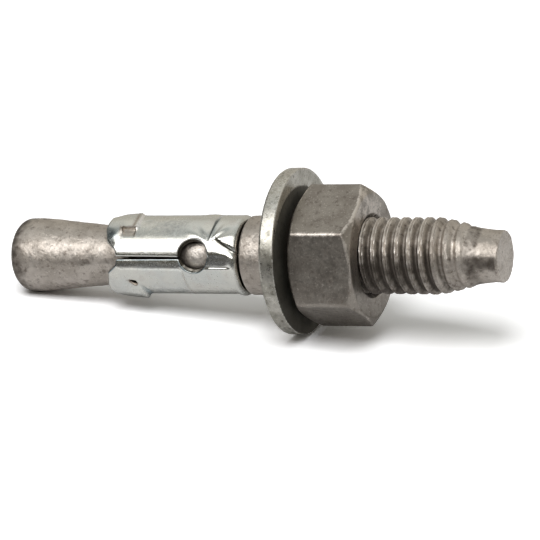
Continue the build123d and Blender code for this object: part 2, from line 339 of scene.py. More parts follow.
# ---- nut and washer ----

NUT_ACROSS_FLATS = 12.82
NUT_CHAMFER_RADIUS = 6.25
NUT_CHAMFER_ANGLE = 30
NUT_CORNER_ANGLE = -5.8
NUT_MOUTH = 4.3
NUT_EDGE = 0.28
NUT_RIDGE = 0.2
NUT_THREAD_PLAY = 0.08
# how rubbed the chamfers' edges and the corners are, by degrees round from the top corner
RUBBED_CHAMFERS = (
    (0, 1.0), (35, 1.05), (60, 1.0), (85, 0.8), (120, 0.4),
    (180, 0.7), (240, 0.45), (300, 0.8), (360, 1.0),
)
RUBBED_CORNERS = (
    (0, 0.2), (30, 0.2), (60, 0.75), (120, 0.3), (180, 0.5),
    (240, 0.4), (300, 0.6), (330, 0.2), (360, 0.2),
)


def hexagon(angle):
    """The radius of the hexagon at an angle, with its corners rounded."""
    radius = 99.0
    for k in range(6):
        reach = np.cos(angle - math.radians(NUT_CORNER_ANGLE + 30 + 60 * k))
        plane = np.where(reach > 0.2, NUT_ACROSS_FLATS / 2 / np.maximum(reach, 0.2), 99.0)
        radius = soft_min(radius, plane, NUT_EDGE)
    return radius


def make_nut(material):
    # columns lie closer together towards the corners
    steps = np.linspace(-1, 1, 41)
    sector = np.sign(steps) * np.abs(steps) ** 0.6 * 30
    angle = np.radians(np.concatenate([NUT_CORNER_ANGLE + 30 + 60 * k + sector[:-1] for k in range(6)]))
    columns = len(angle)
    end = NUT_START + NUT_HEIGHT
    hexes = hexagon(angle)
    face_radii = np.linspace(NUT_MOUTH + 0.05, NUT_CHAMFER_RADIUS - 0.2, 9)
    rings = [polar(NUT_START, r, angle) for r in face_radii]
    ridges = [np.zeros(columns) for _ in face_radii]
    side = np.concatenate([np.linspace(0, 1.2, 26), np.linspace(1.3, NUT_HEIGHT - 1.3, 30),
                           np.linspace(NUT_HEIGHT - 1.2, NUT_HEIGHT, 26)])
    slope = 1 / math.tan(math.radians(NUT_CHAMFER_ANGLE))
    for into in side:
        near = NUT_CHAMFER_RADIUS + into * slope
        far = NUT_CHAMFER_RADIUS + (NUT_HEIGHT - into) * slope
        radius = soft_min(soft_min(hexes, near, NUT_RIDGE), far, NUT_RIDGE)
        rings.append(polar(NUT_START + into, radius, angle))
        ridges.append(bell(np.minimum(np.abs(hexes - near), np.abs(hexes - far)), 0.44))
    rings += [polar(end, r, angle) for r in face_radii[::-1]]
    for s in np.arange(end - 0.04, NUT_START + 0.03, -THREAD_STEP):
        flare = max(NUT_MOUTH - min(end - s, s - NUT_START), 0)
        inner = THREAD_CREST - THREAD_DEPTH + NUT_THREAD_PLAY
        inner = inner + THREAD_DEPTH * thread_height(s, angle)
        rings.append(polar(s, np.maximum(inner, flare), angle))
    points = np.array(rings)
    ridges = np.vstack([ridges, np.zeros((len(rings) - len(ridges), columns))])
    radius = np.hypot(points[..., 1], points[..., 2]) / MM
    station = points[..., 0] / MM
    depth = np.minimum(station - NUT_START, end - station)
    corners = bell(radius - radius.max(), 0.16) * rising(depth, 0.4, 0.3)
    turn = np.degrees(angle) - NUT_CORNER_ANGLE
    wear_and_highlight = np.maximum(corners * lookup(turn, RUBBED_CORNERS), ridges * lookup(turn, RUBBED_CHAMFERS))
    # the outer chamfer is painted lighter on its upper side, a painted highlight
    chamfer_highlight = rising(station, end - 1.1, 0.5) * rising(np.cos(angle), 0.3, 0.5)
    chamfer_highlight = chamfer_highlight * rising(hexes - radius, 0.1, 0.3)
    wear_and_highlight = np.maximum(wear_and_highlight, 0.74 * chamfer_highlight) * (0.88 + 0.45 * lumps(points, 1.1, seed=21))
    # the bore is painted dark, a painted shade
    marks = {"wear_and_highlight": wear_and_highlight, "grime_and_shade": 0.8 * (radius < NUT_MOUTH + 0.02)}
    faces = ring_faces(len(rings), columns, closed_rows=True)
    points = points.reshape(-1, 3)
    new_piece("hex_nut_forging", points, faces, "nut", ["hex_nut"], material, marks)


WASHER_START = 31.05
WASHER_THICKNESS = 1.6
WASHER_RADIUS = 8.45
WASHER_BORE = 4.4
WASHER_LIFT = 0.46
# the radii of its outer edges: the one that blanking rounds, and the sharper one
WASHER_EDGES = (0.35, 0.15)
# painted shade on the face where the nut bears, and a little beyond below and in front
NUT_SHADE_RADIUS = 8.05
NUT_SHADE_SHIFT = 0.85


def make_washer(material):
    columns = 180
    angle = np.arange(columns) * 2 * math.pi / columns
    end = WASHER_START + WASHER_THICKNESS
    blanked, sharp = WASHER_EDGES
    outline = [(WASHER_START, r) for r in np.linspace(WASHER_BORE + 0.2, WASHER_RADIUS - 0.4, 14)]
    outline += arc_points((WASHER_START + blanked, WASHER_RADIUS - blanked), blanked, 0, 90, 8)
    outline += arc_points((end - sharp, WASHER_RADIUS - sharp), sharp, 90, 180, 6)
    outline += [(end, r) for r in np.linspace(WASHER_RADIUS - 0.25, WASHER_BORE + 0.2, 14)]
    outline += [(end - 0.05, WASHER_BORE + 0.04), (end - 0.15, WASHER_BORE)]
    outline += [(WASHER_START + 0.15, WASHER_BORE), (WASHER_START + 0.05, WASHER_BORE + 0.04)]
    points = np.array([polar(s, r, angle) for s, r in outline])
    points[..., 2] += WASHER_LIFT * MM
    station = points[..., 0] / MM
    height = points[..., 2] / MM - WASHER_LIFT
    radius = np.hypot(points[..., 1], points[..., 2] - WASHER_LIFT * MM) / MM
    # its edges are worn; its rim is painted lighter on top, a painted highlight, and darker below, a
    # painted shade
    middle = np.abs(station - WASHER_START - WASHER_THICKNESS / 2)
    edge = np.hypot(radius - WASHER_RADIUS, middle - WASHER_THICKNESS / 2)
    wear_and_highlight = bell(edge, 0.14) * 0.8
    wear_and_highlight = np.maximum(wear_and_highlight, 0.58 * (radius > WASHER_RADIUS - 0.4) * rising(height, 3.0, 2.5))
    # painted shade on the face beside the nut, and in the bore
    from_nut_shade = np.hypot(points[..., 1] / MM + NUT_SHADE_SHIFT, height + NUT_SHADE_SHIFT)
    mark = 1.3 * falling(from_nut_shade, NUT_SHADE_RADIUS, 0.7) * (station > end - 0.05)
    grime_and_shade = np.maximum(0.6 * (radius < WASHER_BORE + 0.3), mark)
    grime_and_shade = np.maximum(grime_and_shade, 0.5 * falling(height, 2.5, 3.0) * (radius > WASHER_RADIUS - 0.3))
    marks = {"wear_and_highlight": wear_and_highlight, "grime_and_shade": grime_and_shade}
    faces = ring_faces(len(outline), columns, closed_rows=True)
    points = points.reshape(-1, 3)
    new_piece("flat_washer", points, faces, "washer", ["washer"], material, marks)


# ---- expansion sleeve ----
# The sheet is drawn flat and then rolled. In the flat, a place is its station and its
# millimetres round the outer face from the seam. Places of barbs, windows and creases are
# given as a station and degrees from the front slit.

SLEEVE_RADIUS = 4.04
SHEET = 0.75
SLEEVE_END = 26.62
FRONT_SLIT = 76.5
THIRD = 120.0
SLEEVE_LIFT = 0.07
MM_PER_DEGREE = SLEEVE_RADIUS * math.pi / 180

SLIT_HALF = 0.14
SLIT_HALF_AT_KEYHOLE = 0.09
KEYHOLE_STATION = 21.8
KEYHOLE_OFFSET = -0.24
KEYHOLE_HALF_LENGTH = 1.6
KEYHOLE_HALF_WIDTH = 1.78
# a segment's corner at the expander: places beside its slit, and the rounding of each
SHOULDER = (
    ((13.14, SLIT_HALF), 0.15), ((12.95, 0.85), 0.3), ((11.88, 1.75), 0.6), ((11.62, 3.1), 2.0),
)
WINDOW = ((13.95, 35.5), (14.9, 37.5), (15.02, 45.5), (14.55, 43.0))

# how far in from an edge its rounding reaches: outside, below a slit, at the end, and inside
OUTER_EDGE = 0.2
LOWER_EDGE = 0.11
END_EDGE = 0.42
INNER_EDGE = 0.06
# the segments' corners are bent in towards the neck over a reach from their edge
CORNER_REACH = 1.35
CORNER_BEND = 3.2

# pockets pressed in beside the other two barbs: stations, slanted start, degrees
POCKET = (13.35, 15.1, 0.5, -49.0, -32.0)
POCKET_TURNS = (0.0, -120.0)
POCKET_DEPTH = 0.3
BARB_FOOT = 11.4
BARB_SWELL = 0.55
BARB_SPREAD = 26.0
BARB_STEP = 0.42
# a barb's apex, crest radius, height, and where its far side and its window side die away
BARBS = (
    ((15.25, -55.0), 5.5, 0.25, (-128.0, -92.0), (-40.0, -49.0)),
    ((15.65, 66.0), 1.9, 0.5, (106.0, 86.0), (41.0, 58.0)),
    ((15.25, -175.0), 5.5, 0.25, (-248.0, -212.0), (-160.0, -169.0)),
)
CRIMP = ((24.1, -31.0), (26.65, -6.0))
CRIMP_DEPTH = 0.34
# a crease: a sliver between two lines that meet at its apex
CREASE_APEX = (23.59, -25.0)
CREASE_LEFT = (23.28, -78.0)
CREASE_RIGHT = (23.92, -78.0)
CREASE_DEPTH = 0.2
# the part pressed in beside the keyhole, from its top down to a straight step
DENT_START, DENT_END = 22.5, 26.1
DENT_TOP, DENT_STEP = -7.0, 13.6
DENT_STEP_WIDTH = 2.8
DENT_DEPTH = 0.076
# a faint ridge across the lower segment, and the line of film behind it
RIDGE_STATION, RIDGE_FILM_STATION = 20.45, 20.62

SPACING = 0.15
EDGE_RINGS = (0.02, 0.06, 0.12, 0.2, 0.3, 0.4, 0.5)
POCKET_OFFSETS = np.linspace(-0.15, 0.15, 7)
CREST_OFFSETS = np.linspace(-0.3, 0.3, 11)
CRIMP_OFFSETS = (-0.3, -0.22, -0.15, -0.08, 0, 0.08, 0.16)
STEP_OFFSETS = (-0.16, -0.08, -0.04, 0, 0.04, 0.08, 0.16)


def to_flat(station, degrees):
    """A place given by its degrees from the front slit, in the flat sheet."""
    return np.array([station, (degrees + 2 * THIRD) * MM_PER_DEGREE])


def from_third(degrees):
    """How many degrees away the nearest of three places is: 0 and a third to either side."""
    return np.abs((degrees + THIRD / 2) % THIRD - THIRD / 2)


def rounded(corners, spacing):
    """A closed outline through (point, radius) corners, rounded and evenly spaced."""
    outline = []
    for i, (point, radius) in enumerate(corners):
        p = np.array(point, float)
        if radius == 0:
            outline.append(p)
            continue
        a = np.array(corners[i - 1][0]) - p
        b = np.array(corners[(i + 1) % len(corners)][0]) - p
        length_a, length_b = np.linalg.norm(a), np.linalg.norm(b)
        a, b = a / length_a, b / length_b
        half = math.acos(max(-1, min(1, float(a @ b)))) / 2
        reach = min(radius / math.tan(half), 0.48 * length_a, 0.48 * length_b)
        fitted = reach * math.tan(half)
        centre = p + (a + b) / np.linalg.norm(a + b) * fitted / math.sin(half)
        start, end = p + a * reach - centre, p + b * reach - centre
        for t in np.linspace(0, 1, max(3, int(fitted * (math.pi - 2 * half) / spacing * 2))):
            blend = start * (1 - t) + end * t
            outline.append(centre + blend / np.linalg.norm(blend) * fitted)
    closed = np.vstack([outline, outline[:1]])
    run = np.concatenate([[0], np.cumsum(np.linalg.norm(np.diff(closed, axis=0), axis=1))])
    steps = np.linspace(0, run[-1], int(run[-1] / spacing) + 1)[:-1]
    return np.stack([np.interp(steps, run, closed[:, i]) for i in (0, 1)], axis=1)


def flat_outlines(spacing):
    """The outlines of the flat sheet: its edge, with two keyhole slits, and its window."""
    third = THIRD * MM_PER_DEGREE
    low, high = [math.asin((half - KEYHOLE_OFFSET) / KEYHOLE_HALF_WIDTH)
                 for half in (-SLIT_HALF_AT_KEYHOLE, SLIT_HALF_AT_KEYHOLE)]
    corners = [((SLEEVE_END, SLIT_HALF), 0.15)]
    for k in range(3):
        left, right = k * third, (k + 1) * third
        corners += [((s, left + a), r) for (s, a), r in SHOULDER]
        corners += [((s, right - a), r) for (s, a), r in SHOULDER[::-1]]
        if k < 2:
            for turn in np.linspace(math.pi - low, 3 * math.pi - high, 60):
                station = KEYHOLE_STATION + KEYHOLE_HALF_LENGTH * math.cos(turn)
                across = right + KEYHOLE_OFFSET + KEYHOLE_HALF_WIDTH * math.sin(turn)
                corners.append(((station, across), 0))
    corners.append(((SLEEVE_END, 3 * third - SLIT_HALF), 0.15))
    window = [(to_flat(*corner), 0.15) for corner in WINDOW]
    return [rounded(corners, spacing), rounded(window, spacing)]


def inside(points, loops):
    """Whether each flat point lies in the sheet, and not in its window."""
    crossings = np.zeros(len(points), int)
    for loop in loops:
        for a, b in zip(loop, np.roll(loop, -1, axis=0)):
            if a[1] == b[1]:
                continue
            spans = (points[:, 1] >= min(a[1], b[1])) & (points[:, 1] < max(a[1], b[1]))
            at = a[0] + (points[:, 1] - a[1]) / (b[1] - a[1]) * (b[0] - a[0])
            crossings += spans & (points[:, 0] < at)
    return crossings % 2 == 1


def distance_to(points, loops):
    """The distance of flat points from the nearest outline."""
    edge = np.vstack(loops)
    tree = kdtree.KDTree(len(edge))
    for i, (x, y) in enumerate(edge):
        tree.insert((x, y, 0), i)
    tree.balance()
    return np.array([tree.find((x, y, 0))[2] for x, y in points])


def along(curve, offsets):
    """Points beside a flat curve at the given offsets across it."""
    tangent = np.gradient(curve, axis=0)
    normal = np.stack([tangent[:, 1], -tangent[:, 0]], axis=1)
    normal /= np.linalg.norm(normal, axis=1, keepdims=True)
    return [curve + normal * offset for offset in offsets]


def crest_station(degrees, barb):
    """Where a barb's curved crest runs."""
    (station, apex), radius = barb[:2]
    return station - ((degrees - apex) * MM_PER_DEGREE) ** 2 / (2 * radius)


def barb_span(degrees, barb, near_end):
    """How fully a barb stands at an angle, between the two ends where it dies away."""
    far, near = barb[3], barb[4]
    return rising(degrees, far[0], far[1] - far[0]) * rising(degrees, near_end, near[1] - near_end)


def crimp_place(station, degrees):
    """Places along the crimp from its start, as a share, and millimetres across its valley."""
    (start, top), (end, bottom) = CRIMP
    run = np.clip((station - start) / (end - start), 0, 1.1)
    return run, (degrees - top - (bottom - top) * run**0.8) * MM_PER_DEGREE


def crease_lines(degrees):
    """Places along the crease from its apex, as a share, and the stations of its two lines."""
    apex, top = CREASE_APEX
    run = np.clip((top - degrees) / (top - CREASE_LEFT[1]), 0, 1.3)
    left = apex + (CREASE_LEFT[0] - apex) * run + 0.5 * run * (1 - run)
    right = apex + (CREASE_RIGHT[0] - apex) * run + 0.6 * run * (1 - run) + 0.04
    return run, left, right


def spot_at(station, degrees, at, length, width):
    """1 at a place, falling away over a length along the axis and a width round it."""
    return np.exp(-((station - at[0]) / length) ** 2 - ((degrees - at[1]) * MM_PER_DEGREE / width) ** 2)


def ridge_line(station, degrees, start, width, amount):
    """A slightly slanted line across the lower segment."""
    line = bell(station - start - (degrees - 36) * 0.004, width)
    return amount * line * rising(degrees, 16, 8) * falling(degrees, 84, 12)


def barb_height(station, degrees):
    """The barbs: swelling from their foot up to a crest, and stepping down behind it."""
    height = np.zeros_like(station)
    for barb in BARBS:
        crest = crest_station(degrees, barb)
        rise = np.clip((station - BARB_FOOT) / (crest - BARB_FOOT), 0, 1) ** BARB_SWELL
        fall = 1 - smooth_step((station - crest) / BARB_STEP + 0.5)
        near = barb[4]
        spread = near[0] + math.copysign(BARB_SPREAD, near[0] - near[1]) * falling(station, 13.8, 0.9)
        height += barb[2] * rise * fall * barb_span(degrees, barb, spread)
    return height


def pocket_depth(station, degrees):
    """A pocket: deepest under the barb's edge, rising to the face away from it."""
    start, end, slant, top, bottom = POCKET
    down = (degrees - top) / (bottom - top)
    left = rising(station - start, slant * np.clip(down, 0, 1), 0.14)
    lip = smooth_step(down * (bottom - top) * MM_PER_DEGREE / 0.1)
    return POCKET_DEPTH * np.clip(1.05 - down, 0, 1) * left * falling(station, end, 0.14) * lip


def crimp_depth(station, degrees):
    """The crimp: a groove with a steep bank above its valley and a long one below it."""
    run, across = crimp_place(station, degrees)
    bank = np.where(across < 0, 1 + across / (0.28 + 0.35 * run), 1 - across / (1.1 - 0.62 * run))
    return CRIMP_DEPTH * run**0.7 * soft_max(bank, 0, 0.12)


def crease_depth(station, degrees):
    """The crease: sunk on its left, with a steep face that rises to its right."""
    run, left, right = crease_lines(degrees)
    before = np.exp(-np.maximum(left - station, 0) / 0.8)
    sunk = np.where(station < left, before, 1 - rising(station, left, right - left))
    return CREASE_DEPTH * np.minimum(run * 1.6, 1) * sunk * rising(degrees, -97, 14)


def dent_depth(station, degrees):
    """The part between the keyhole and the end, pressed in down to a straight step."""
    pressed = rising(degrees, DENT_TOP, 8) * (1 - rising(degrees, DENT_STEP, DENT_STEP_WIDTH))
    return DENT_DEPTH * pressed * rising(station, DENT_START, 0.3) * falling(station, DENT_END, 0.7)


def pucker_height(station, degrees):
    """Folds that spread from the crimp's upper end."""
    ahead = station - CREASE_APEX[0]
    aside = (CREASE_APEX[1] + 2 - degrees) * MM_PER_DEGREE
    reach = np.hypot(ahead, aside)
    ripple = np.sin(11 * np.arctan2(ahead, aside) + 0.6)
    ripple = ripple * rising(reach, 0, 0.7) * falling(reach, 3.4, 1.6)
    return 0.035 * ripple * rising(aside, 0, 0.4)


def relief(station, degrees):
    """How far the rolled sheet stands off its cylinder."""
    height = barb_height(station, degrees)
    for turn in POCKET_TURNS:
        height -= pocket_depth(station, degrees - turn)
    for depth in (crimp_depth, crease_depth, dent_depth):
        height -= depth(station, degrees)
    height += pucker_height(station, degrees)
    # a bulge over the top
    height += 0.08 * spot_at(station, degrees, (22.5, -100), 0.85, 1.2)
    # the lip below each slit is rolled down, and the lower corner of the end is flared
    for turn in (0.0, THIRD, -THIRD):
        below = np.where(degrees > turn, (degrees - turn) * MM_PER_DEGREE, 9.0)
        rolled = soft_max(1.4 - below, 0, 0.5)
        height -= 0.115 * rolled * falling(station, KEYHOLE_STATION - 0.9, 0.9)
    flare = smooth_step((station - 25.5 + 0.006 * (degrees - 40)) / 0.9)
    height += 0.17 * flare * rising(degrees, 22, 30) * falling(degrees, 118, 20)
    height += ridge_line(station, degrees, RIDGE_STATION, 0.16, 0.045)
    return height


def rolled_edge(distance, reach, radius):
    """How far an edge that bends down over its reach lies below the face."""
    inwards = np.clip(reach - distance, 0, reach)
    return radius - np.sqrt(radius**2 - inwards**2)


def fold_points():
    """Flat points in lines beside the pockets' edges, the crests, the crimp, step and crease."""
    folds = []
    start, end, slant, top, bottom = POCKET
    for turn in POCKET_TURNS:
        corners = [(start, top), (end, top), (end, bottom), (start + slant, bottom), (start, top)]
        corners = [to_flat(station, degrees + turn) for station, degrees in corners]
        for a, b in zip(corners, corners[1:]):
            folds += along(np.linspace(a, b, 16), POCKET_OFFSETS)
    for barb in BARBS:
        sides = np.arange(min(barb[3][0], barb[4][0]), max(barb[3][0], barb[4][0]), 1.5)
        crest = np.stack([to_flat(crest_station(a, barb), a) for a in sides])
        folds += along(crest, CREST_OFFSETS)
    folds += along(np.linspace(to_flat(*CRIMP[0]), to_flat(*CRIMP[1]), 40), CRIMP_OFFSETS)
    step = [to_flat(s, DENT_STEP + DENT_STEP_WIDTH / 2) for s in (DENT_START, DENT_END)]
    folds += along(np.linspace(*step, 30), STEP_OFFSETS)
    run = np.linspace(0, 1, 40)[:, None]
    for far in (CREASE_LEFT, CREASE_RIGHT):
        curve = to_flat(*CREASE_APEX) * (1 - run) + to_flat(*far) * run
        folds += along(curve + run * (1 - run) * np.array([0.55, 0]), (-0.07, 0, 0.07))
    return np.vstack(folds)


def sheet_points(loops, fine):
    """Flat points that cover the sheet: rings beside its edges, lines along its folds, a grid."""
    edge = np.vstack(loops)
    parts = [edge]
    for loop in loops:
        closed = np.vstack([loop[-1:], loop, loop[:1]])
        for offset in EDGE_RINGS:
            for side in (offset, -offset):
                ring = along(closed, [side])[0][1:-1]
                parts.append(ring[distance_to(ring, fine) > 0.93 * offset])
    folds = fold_points()
    folds = folds[distance_to(folds, fine) > EDGE_RINGS[-1]]
    stations = np.arange(11.6, SLEEVE_END, SPACING)
    rounds = np.arange(0, 3 * THIRD * MM_PER_DEGREE, SPACING)
    grid = np.stack(np.meshgrid(stations, rounds, indexing="ij"), axis=-1).reshape(-1, 2)
    grid = grid[distance_to(grid, fine) > EDGE_RINGS[-1] + SPACING / 2]
    grid = grid[distance_to(grid, [folds]) > SPACING * 0.6]
    points = np.vstack([*parts, folds, grid])
    keep = inside(points, loops)
    keep[:len(edge)] = True
    return points[keep]


def flat_sheet():
    """The flat sheet's points, their distance from its edge, its triangles and its edges."""
    loops = flat_outlines(SPACING * 0.8)
    fine = flat_outlines(SPACING / 4)
    edges = []
    start = 0
    for loop in loops:
        count = len(loop)
        edges += [(start + i, start + (i + 1) % count) for i in range(count)]
        start += count
    points = [Vector(p) for p in sheet_points(loops, fine).tolist()]
    flat, _, triangles, origin, _, _ = geometry.delaunay_2d_cdt(points, edges, [], 0, 1e-5)
    flat, triangles = np.array(flat), np.array(triangles)
    triangles = triangles[inside(flat[triangles].mean(axis=1), loops)]
    place = {old: new for new, olds in enumerate(origin) for old in olds}
    gap = distance_to(flat, fine)
    gap[[place[i] for i in range(start)]] = 0
    return flat, gap, triangles.tolist(), [(place[a], place[b]) for a, b in edges]


def sleeve_marks(station, degrees, gap, below_slit):
    """How the outer face is marked: painted highlights, stains, films and dark edges, with painted
    shade.
    """
    before_end = station < SLEEVE_END - 1
    # the cut edges are dark, less so at the window; the end face, in the narrow gap at the collar, gets
    # a painted shade
    cut_and_shade = np.clip(1 - gap / 0.07, 0, 1)
    end_face = falling(gap, 0.55, 0.2) * rising(station, SLEEVE_END - 0.5, 0.2)
    cut_and_shade = np.maximum(cut_and_shade, 0.22 * end_face * rising(degrees, -84, 14))
    at_window = (np.abs(station - 14.5) < 0.9) & (np.abs(degrees - 41) < 11)
    cut_and_shade = np.where(at_window, 0.3 * cut_and_shade, cut_and_shade)
    # a stain at the front barb's foot, and along the lip below each slit
    stain_and_shade = spot_at(station, degrees, (12.4, -36), 0.9, 0.8)
    stain_and_shade = np.maximum(stain_and_shade, below_slit * falling(gap, 0.2, 0.08) * before_end)
    film = ridge_line(station, degrees, RIDGE_FILM_STATION, 0.1, 0.45)
    film = np.maximum(film, at_window * falling(gap, 0.16, 0.08))
    # painted shade in the crimp's valley and on the crease's sliver
    run, across = crimp_place(station, degrees)
    valley = falling(np.abs(across + 0.1), 0.3 - 0.17 * run, 0.12)
    cut_and_shade = np.maximum(cut_and_shade, 0.72 * rising(run, 0, 0.08) * valley)
    run, left, right = crease_lines(degrees)
    sliver = rising(station, left - 0.02, 0.05) * falling(station, right + 0.04, 0.05)
    sliver = sliver * rising(run, 0, 0.15) * falling(run, 1.05, 0.3)
    stain_and_shade = np.maximum(stain_and_shade, 0.9 * sliver)
    cut_and_shade = np.maximum(cut_and_shade, 0.32 * sliver)
    start, end, _, top, bottom = POCKET
    for turn in POCKET_TURNS:
        down = (degrees - turn - top) / (bottom - top)
        within = rising(station, start - 0.2, 0.2) * falling(station, end + 0.22, 0.2)
        within = within * rising(down, -0.05, 0.1) * falling(down, 1.05, 0.15)
        film = np.maximum(film, (0.85 - 0.35 * np.clip(down, 0, 1)) * within)
    # a painted highlight at the window's corner and on the crests, with a painted shadow below
    # them in the film, but for the lower barb, whose face behind its crest gets a painted shade
    worn_and_lit = spot_at(station, degrees, (14.05, 34.2), 0.16, 0.09)
    for barb in BARBS:
        past = station - crest_station(degrees, barb)
        span = barb_span(degrees, barb, barb[4][0])
        if barb is BARBS[1]:
            stain_and_shade = np.maximum(stain_and_shade, span * rising(past, -0.05, 0.1) * falling(past, 0.5, 0.15))
        else:
            worn_and_lit = np.maximum(worn_and_lit, span * bell(past, 0.14))
            film = np.maximum(film, span * 0.9 * bell(past + 0.42, 0.17))
    return worn_and_lit, stain_and_shade, film, cut_and_shade


def make_sleeve(material):
    flat, gap, triangles, edges = flat_sheet()
    count = len(flat)
    station = flat[:, 0]
    degrees = flat[:, 1] / MM_PER_DEGREE - 2 * THIRD
    angle = np.radians(degrees + FRONT_SLIT)
    surface = polar(station, SLEEVE_RADIUS, angle)
    # the skin is uneven, most in a beaten band above the front slit and its two repeats
    beaten = falling(from_third(degrees + 51), 18.5, 10) * rising(station, 14.7, 0.8)
    beaten = beaten * falling(station, 21.5, 2.0)
    stand = relief(station, degrees) + 0.014 * lumps(surface, 2.6, seed=3)
    streaked = surface * np.array([1.8, 1.0, 1.0])
    stand += (0.003 + 0.026 * beaten) * lumps(streaked, 0.9, seed=8)
    # the outer face drops away at its edges and at the segments' corners
    below_slit = from_third(degrees - 13) < 13
    edge = OUTER_EDGE + END_EDGE * rising(station, SLEEVE_END - 0.8, 0.4)
    edge = np.where(below_slit & (station < SLEEVE_END - 1), LOWER_EDGE, edge)
    from_slit = from_third(degrees)
    bend = rolled_edge(gap, CORNER_REACH, CORNER_BEND) * falling(station, 13.5, 0.8)
    bend = bend * falling(from_slit, 50, 16) * rising(from_slit, 12, 14)
    drop = rolled_edge(gap, edge, edge) + bend
    inset = SHEET - rolled_edge(gap, INNER_EDGE, INNER_EDGE)
    lift = np.array(UP) * SLEEVE_LIFT * MM
    outer = polar(station, SLEEVE_RADIUS + stand - drop, angle) + lift
    inner = polar(station, SLEEVE_RADIUS - inset + stand, angle) + lift
    vertices = np.vstack([outer, inner])
    faces = triangles + [(c + count, b + count, a + count) for a, b, c in triangles]
    faces += [(a, b, b + count, a + count) for a, b in edges]
    worn_and_lit, stain_and_shade, film, cut_and_shade = sleeve_marks(station, degrees, gap, below_slit)
    # painted highlights on the front keyhole's upper rim and, in patches, on its lower lip, which is
    # kept from darkening; the sheet's other edges are dark, and its inside is painted dark, a painted
    # shade
    keyhole = np.hypot((station - KEYHOLE_STATION) / KEYHOLE_HALF_LENGTH,
                       (degrees * MM_PER_DEGREE - KEYHOLE_OFFSET) / KEYHOLE_HALF_WIDTH)
    rim_highlight = bell(gap - 0.13, 0.07) * (keyhole < 1.3) * falling(degrees, -8, 14)
    worn_and_lit = np.maximum(worn_and_lit, 0.8 * rim_highlight)
    lip = (keyhole < 1.4) * rising(degrees, 10, 5)
    patches = lumps(inner, 0.4, seed=41)
    worn_and_lit = np.concatenate([worn_and_lit, 0.6 * lip * np.clip(0.8 + 1.4 * patches, 0, 1.4)])
    lip = lip * np.clip(0.8 + 0.5 * patches, 0, 1)
    cut_and_shade = np.concatenate([np.minimum(cut_and_shade, 1 - lip), 1 - lip])
    marks = {"wear_and_highlight": worn_and_lit, "stain_and_shade": stain_and_shade, "film": film, "beaten": beaten, "cut_and_shade": cut_and_shade}
    new_piece(
        "rolled_sleeve", vertices, faces, "sleeve", ["expansion_sleeve"], material,
        marks, crease=50,
    )


# ---- materials ----


class Shades:
    """The nodes of a material or a world. Patterns are measured in mm on the piece itself."""

    def __init__(self, owner, coordinates="Object"):
        owner.use_nodes = True
        self.owner = owner
        self.nodes = owner.node_tree.nodes
        self.place = self.add("TexCoord", output=coordinates)

    def feed(self, node, inputs):
        """Sets a node's sockets, and gives its outputs."""
        for name, value in inputs.items():
            if isinstance(value, bpy.types.NodeSocket):
                self.owner.node_tree.links.new(value, node.inputs[name])
            else:
                node.inputs[name].default_value = value
        return node.outputs

    def add(self, kind, inputs=None, output=0, **settings):
        """A new node with its settings and inputs, given as one of its outputs."""
        node = self.nodes.new("ShaderNode" + kind)
        for name, value in settings.items():
            setattr(node, name, value)
        return self.feed(node, inputs or {})[output]

    def noise(self, size, detail, roughness, seed, place=None):
        """Noise from 0 to 1 with lumps of a size in millimetres."""
        shift = (seed * 0.013, seed * 0.007, seed * 0.003)
        shifted = self.add("VectorMath", {1: shift, 0: place or self.place}, operation="ADD")
        inputs = {"Scale": 1 / (size * MM), "Detail": detail, "Roughness": roughness}
        return self.add("TexNoise", {**inputs, "Vector": shifted}, "Fac")

    def span(self, value, low, high, to_low=0.0, to_high=1.0, kind="SMOOTHSTEP"):
        """A value carried from one span onto another and kept inside it."""
        inputs = {"From Min": low, "From Max": high, "To Min": to_low, "To Max": to_high}
        inputs["Value"] = value
        return self.add("MapRange", inputs, "Result", interpolation_type=kind)

    def table(self, value, rows, unit=1.0):
        """The grey or colour that a table of (value, colour) rows gives, eased between them."""
        low, high = rows[0][0], rows[-1][0]
        value = self.span(value, low * unit, high * unit, kind="LINEAR")
        ramp = self.nodes.new("ShaderNodeValToRGB")
        elements = ramp.color_ramp.elements
        ramp.color_ramp.interpolation = "EASE"
        while len(elements) < len(rows):
            elements.new(1.0)
        for element, (at, colour) in zip(elements, rows):
            element.position = (at - low) / (high - low)
            element.color = (*np.broadcast_to(colour, 3), 1)
        return self.feed(ramp, {"Fac": value})["Color"]

    def math(self, operation, a, b):
        return self.add("Math", {0: a, 1: b}, operation=operation)

    def times(self, a, b):
        return self.math("MULTIPLY", a, b)

    def ragged(self, mark, pattern, amount):
        """A piece's mark with its edges made ragged by a pattern."""
        change = self.times(self.math("SUBTRACT", pattern, 0.5), amount)
        return self.math("ADD", self.mark(mark), change)

    def mark(self, name):
        return self.add("Attribute", output="Fac", attribute_name=name)

    def mix(self, amount, a, b, **settings):
        """What lies between two numbers or outputs."""
        return self.add("Mix", {"Factor": amount, "A": a, "B": b}, "Result", **settings)

    def tint(self, amount, a, b):
        """What lies between a colour, or an output, and another colour."""
        a = (*a, 1) if isinstance(a, tuple) else a
        return self.mix(amount, a, (*b, 1), data_type="RGBA")

    def bump(self, height, millimetres, under=None):
        """Bumps of a height in millimetres, over others if they are given."""
        inputs = {"Distance": millimetres * MM, "Strength": 1.0, "Height": height}
        return self.add("Bump", {**inputs, "Normal": under} if under else inputs)

    def finish(self, **inputs):
        """Sets the surface's own sockets, and gives the material."""
        inputs = {name.replace("_", " "): value for name, value in inputs.items()}
        self.feed(self.nodes["Principled BSDF"], inputs)
        return self.owner


